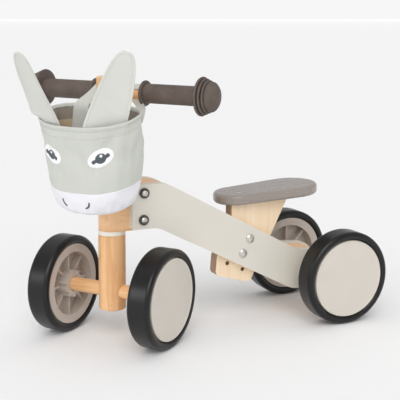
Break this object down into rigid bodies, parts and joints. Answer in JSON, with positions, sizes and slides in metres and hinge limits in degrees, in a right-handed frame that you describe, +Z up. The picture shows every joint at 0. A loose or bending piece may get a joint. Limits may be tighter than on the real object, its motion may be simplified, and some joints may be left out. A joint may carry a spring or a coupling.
{
  "type": "toddler ride-on",
  "caption": "Low wooden toddler's ride-on with wide wheels, a turning front post with handlebar and grips, a plank seat and a soft basket with an animal's face",
  "frame": {"origin": "on the floor, under the middle of the object's box as it rests", "axes": "+Z up, -Y forwards, +X to the rider's left; +Y is the longest extent and +X the shortest. The front assembly rests turned 35.6 degrees to the left"},
  "size_m": [0.2617, 0.5461, 0.4094],
  "materials": {
    "panel_paint": "satin warm-white paint on plywood",
    "beech": "clear-lacquered beech",
    "ply": "clear-lacquered birch plywood",
    "seat_paint": "satin grey-brown paint on plywood",
    "steel": "zinc-plated",
    "dark_trim": "black",
    "nylon": "white",
    "grip": "matt grey-brown",
    "cloth": "pale grey quilted cotton",
    "white_cloth": "white cotton",
    "tyre": "black foam rubber",
    "rim": "satin warm grey",
    "disc": "satin pale grey"
  },
  "bodies": {
    "frame": {"side_panel_left": "panel_paint", "side_panel_right": "panel_paint", "head_block": "beech", "rear_block": "beech", "seat_board": "ply", "seat": "seat_paint", "seat_screws": "steel", "seat_spacers": "nylon", "seat_bolts": "steel", "seat_nuts": "steel", "front_bolts": "steel", "front_bolt_caps": "dark_trim", "front_nuts": "steel", "rear_bolts": "steel", "rear_nuts": "steel", "rear_axle": "beech", "rear_axle_screw": "steel", "axle_bolt_rear_left": "steel", "axle_bolt_rear_right": "steel", "steering_bush_lower": "nylon", "steering_bush_upper": "nylon"},
    "steering": {"post_lower": "beech", "post_upper": "beech", "steering_spindle": "steel", "spindle_pins": "beech", "handlebar": "beech", "handlebar_screws": "steel", "grip_left": "grip", "grip_right": "grip", "front_axle": "beech", "front_axle_screw": "steel", "axle_bolt_front_left": "steel", "axle_bolt_front_right": "steel", "basket_body": "cloth", "basket_muzzle": "white_cloth", "ear_left": "cloth", "ear_right": "cloth", "strap_left": "cloth", "strap_right": "cloth"},
    "wheel_front_left": {"tyre_front_left": "tyre", "wheel_core_front_left": "rim", "wheel_cover_front_left": "disc", "wheel_bush_front_left": "nylon"},
    "wheel_front_right": {"tyre_front_right": "tyre", "wheel_core_front_right": "rim", "wheel_cover_front_right": "disc", "wheel_bush_front_right": "nylon"},
    "wheel_rear_left": {"tyre_rear_left": "tyre", "wheel_core_rear_left": "rim", "wheel_cover_rear_left": "disc", "wheel_bush_rear_left": "nylon"},
    "wheel_rear_right": {"tyre_rear_right": "tyre", "wheel_core_rear_right": "rim", "wheel_cover_rear_right": "disc", "wheel_bush_rear_right": "nylon"}
  },
  "joints": [
    {"name": "steering_turn", "type": "hinge", "parent": "frame", "child": "steering", "pos_m": [0.0127, -0.133, 0.2], "axis": [0, 0, 1], "range_deg": [-80.6, 9.4]},
    {"name": "front_left_roll", "type": "hinge", "parent": "steering", "child": "wheel_front_left", "pos_m": [0.07856, -0.08585, 0.07], "axis": [0.8131, 0.5821, 0], "continuous": true},
    {"name": "front_right_roll", "type": "hinge", "parent": "steering", "child": "wheel_front_right", "pos_m": [-0.05316, -0.18015, 0.07], "axis": [0.8131, 0.5821, 0], "continuous": true},
    {"name": "rear_left_roll", "type": "hinge", "parent": "frame", "child": "wheel_rear_left", "pos_m": [0.0952, 0.203, 0.07], "axis": [1, 0, 0], "continuous": true},
    {"name": "rear_right_roll", "type": "hinge", "parent": "frame", "child": "wheel_rear_right", "pos_m": [-0.0698, 0.203, 0.07], "axis": [1, 0, 0], "continuous": true}
  ]
}
